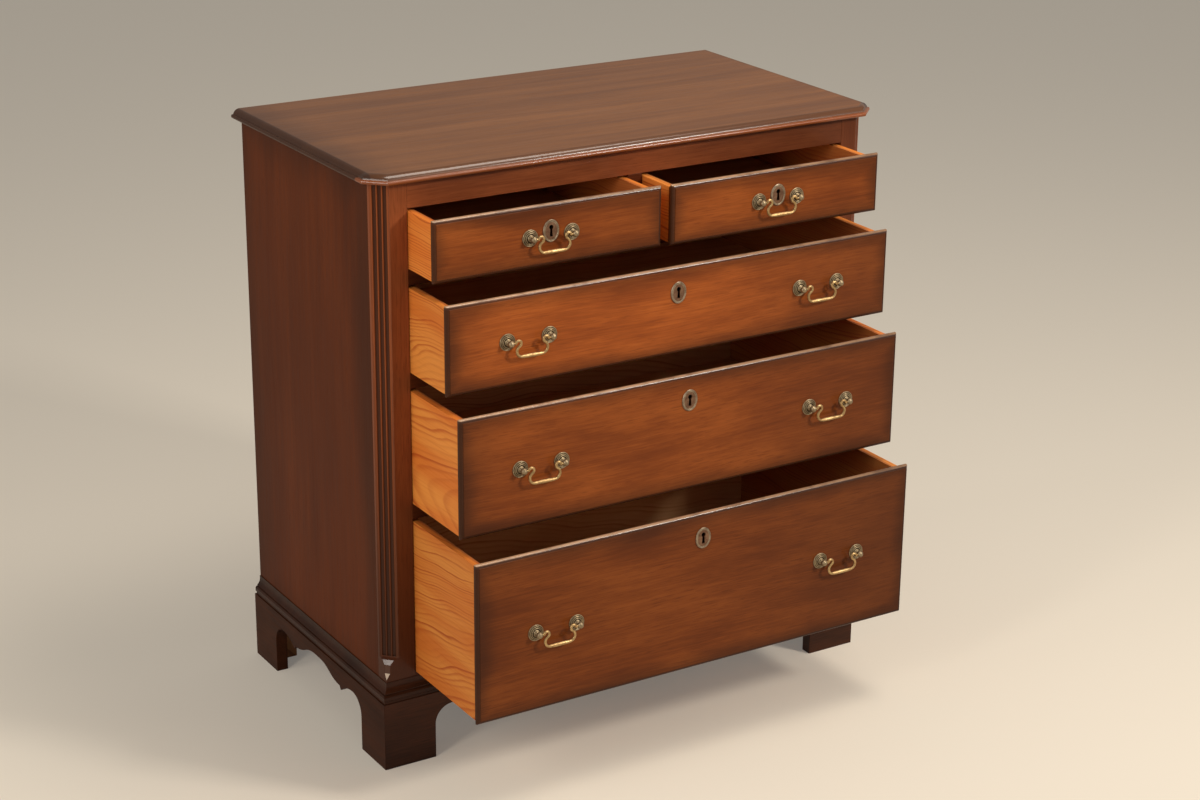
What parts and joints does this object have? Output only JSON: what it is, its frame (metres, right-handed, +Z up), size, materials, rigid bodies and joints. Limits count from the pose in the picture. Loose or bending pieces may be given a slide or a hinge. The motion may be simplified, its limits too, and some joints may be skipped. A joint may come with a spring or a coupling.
{
  "type": "chest of drawers",
  "caption": "Mahogany chest of drawers with flat lipped fronts, moulded top, fluted canted corners, a bracket base with shaped arches, and swan-neck brass bails.",
  "frame": {"origin": "on the floor, under the middle of the whole chest as it stands with its drawers open", "axes": "+Z up, -Y out of the drawer fronts, +X to the right for someone who faces the fronts"},
  "size_m": [0.922, 0.705, 0.96],
  "materials": {
    "case_mahogany": "satin lacquer",
    "front_mahogany": "satin lacquer",
    "drawer_pine": "thin clear finish",
    "inner_wood": "unfinished",
    "aged_brass": "aged, darkened",
    "bright_brass": "worn bright"
  },
  "bodies": {
    "case": {"top_board": "case_mahogany", "side_panel_right": "case_mahogany", "side_panel_left": "case_mahogany", "corner_post_right": "case_mahogany", "corner_post_left": "case_mahogany", "bottom_rail": "case_mahogany", "rail_lower": "case_mahogany", "rail_middle": "case_mahogany", "rail_upper": "case_mahogany", "top_rail": "case_mahogany", "centre_divider": "case_mahogany", "drawer_runners": "inner_wood", "drawer_guides": "inner_wood", "top_cleats": "inner_wood", "back_panel": "inner_wood", "bottom_board": "inner_wood", "base_front": "case_mahogany", "base_right": "case_mahogany", "base_left": "case_mahogany", "base_moulding": "case_mahogany", "foot_blocks": "inner_wood", "rear_foot_braces": "inner_wood"},
    "top_left_drawer": {"top_left_front": "front_mahogany", "top_left_sides": "drawer_pine", "top_left_back": "drawer_pine", "top_left_bottom": "drawer_pine", "top_left_pull_posts": "aged_brass", "top_left_escutcheon": "aged_brass"},
    "top_left_bail": {"top_left_bail": "bright_brass"},
    "top_right_drawer": {"top_right_front": "front_mahogany", "top_right_sides": "drawer_pine", "top_right_back": "drawer_pine", "top_right_bottom": "drawer_pine", "top_right_pull_posts": "aged_brass", "top_right_escutcheon": "aged_brass"},
    "top_right_bail": {"top_right_bail": "bright_brass"},
    "upper_drawer": {"upper_front": "front_mahogany", "upper_sides": "drawer_pine", "upper_back": "drawer_pine", "upper_bottom": "drawer_pine", "upper_pull_posts": "aged_brass", "upper_escutcheon": "aged_brass"},
    "upper_bail_left": {"upper_bail_left": "bright_brass"},
    "upper_bail_right": {"upper_bail_right": "bright_brass"},
    "middle_drawer": {"middle_front": "front_mahogany", "middle_sides": "drawer_pine", "middle_back": "drawer_pine", "middle_bottom": "drawer_pine", "middle_pull_posts": "aged_brass", "middle_escutcheon": "aged_brass"},
    "middle_bail_left": {"middle_bail_left": "bright_brass"},
    "middle_bail_right": {"middle_bail_right": "bright_brass"},
    "lower_drawer": {"lower_front": "front_mahogany", "lower_sides": "drawer_pine", "lower_back": "drawer_pine", "lower_bottom": "drawer_pine", "lower_pull_posts": "aged_brass", "lower_escutcheon": "aged_brass"},
    "lower_bail_left": {"lower_bail_left": "bright_brass"},
    "lower_bail_right": {"lower_bail_right": "bright_brass"}
  },
  "joints": [
    {"name": "top_left_slide", "type": "slide", "parent": "case", "child": "top_left_drawer", "axis": [0, -1, 0], "range_m": [-0.0824, 0.2571]},
    {"name": "top_left_bail_swing", "type": "hinge", "parent": "top_left_drawer", "child": "top_left_bail", "pos_m": [-0.20342, -0.2279, 0.859], "axis": [-1, 0, 0], "range_deg": [-20, 120]},
    {"name": "top_right_slide", "type": "slide", "parent": "case", "child": "top_right_drawer", "axis": [0, -1, 0], "range_m": [-0.0865, 0.253]},
    {"name": "top_right_bail_swing", "type": "hinge", "parent": "top_right_drawer", "child": "top_right_bail", "pos_m": [0.20342, -0.232, 0.859], "axis": [-1, 0, 0], "range_deg": [-20, 120]},
    {"name": "upper_slide", "type": "slide", "parent": "case", "child": "upper_drawer", "axis": [0, -1, 0], "range_m": [-0.1193, 0.2202]},
    {"name": "upper_bail_left_swing", "type": "hinge", "parent": "upper_drawer", "child": "upper_bail_left", "pos_m": [-0.26325, -0.2648, 0.71875], "axis": [-1, 0, 0], "range_deg": [-20, 120]},
    {"name": "upper_bail_right_swing", "type": "hinge", "parent": "upper_drawer", "child": "upper_bail_right", "pos_m": [0.26325, -0.2648, 0.71875], "axis": [-1, 0, 0], "range_deg": [-20, 120]},
    {"name": "middle_slide", "type": "slide", "parent": "case", "child": "middle_drawer", "axis": [0, -1, 0], "range_m": [-0.1564, 0.1831]},
    {"name": "middle_bail_left_swing", "type": "hinge", "parent": "middle_drawer", "child": "middle_bail_left", "pos_m": [-0.26325, -0.3019, 0.5315], "axis": [-1, 0, 0], "range_deg": [-20, 120]},
    {"name": "middle_bail_right_swing", "type": "hinge", "parent": "middle_drawer", "child": "middle_bail_right", "pos_m": [0.26325, -0.3019, 0.5315], "axis": [-1, 0, 0], "range_deg": [-20, 120]},
    {"name": "lower_slide", "type": "slide", "parent": "case", "child": "lower_drawer", "axis": [0, -1, 0], "range_m": [-0.202, 0.1375]},
    {"name": "lower_bail_left_swing", "type": "hinge", "parent": "lower_drawer", "child": "lower_bail_left", "pos_m": [-0.26325, -0.3475, 0.2835], "axis": [-1, 0, 0], "range_deg": [-20, 120]},
    {"name": "lower_bail_right_swing", "type": "hinge", "parent": "lower_drawer", "child": "lower_bail_right", "pos_m": [0.26325, -0.3475, 0.2835], "axis": [-1, 0, 0], "range_deg": [-20, 120]}
  ]
}
